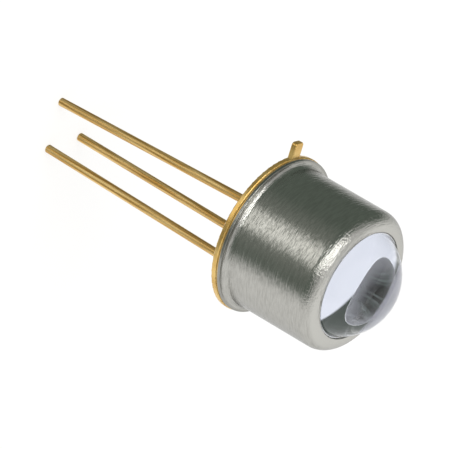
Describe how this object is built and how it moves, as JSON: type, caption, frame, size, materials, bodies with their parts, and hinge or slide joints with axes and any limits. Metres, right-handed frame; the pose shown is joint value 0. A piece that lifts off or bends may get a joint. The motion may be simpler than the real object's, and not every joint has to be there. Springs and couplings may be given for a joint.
{
  "type": "ultraviolet light-emitting diode",
  "caption": "Ultraviolet light-emitting diode in a metal can: gold-plated header with tab and leads, drawn nickel cap, half-ball glass lens and a chip on a ceramic submount.",
  "frame": {"origin": "centre of the header's underside, which is the seating plane", "axes": "+Z along the optical axis, out through the lens; leads one, two and three at +X, +Y and -X, and the tab between +X and -Y"},
  "size_m": [0.0092, 0.0092, 0.0227],
  "materials": {
    "gold_plated_header": "satin gold plate",
    "gold_plated_lead": "drawn wire, gold plate",
    "bead_glass": "dark sealing glass",
    "nickel_can": "drawn sheet, satin nickel plate",
    "lens_glass": "polished clear glass",
    "seal_glass": "grey sealing glass",
    "solder": "dull solder",
    "ceramic": "sintered nitride ceramic",
    "gold_pad": "plated metal film",
    "chip": "sawn clear crystal",
    "gold_wire": "bright drawn gold"
  },
  "bodies": {
    "root": {"header": "gold_plated_header", "anode_bead": "bead_glass", "cathode_bead": "bead_glass", "anode_lead": "gold_plated_lead", "cathode_lead": "gold_plated_lead", "case_lead": "gold_plated_lead", "case_braze": "gold_plated_header", "submount_solder": "solder", "submount": "ceramic", "anode_pad": "gold_pad", "cathode_pad": "gold_pad", "die_bumps": "gold_pad", "led_die": "chip", "anode_wire": "gold_wire", "cathode_wire": "gold_wire", "cap": "nickel_can", "lens_seal": "seal_glass", "lens": "lens_glass"}
  },
  "joints": []
}
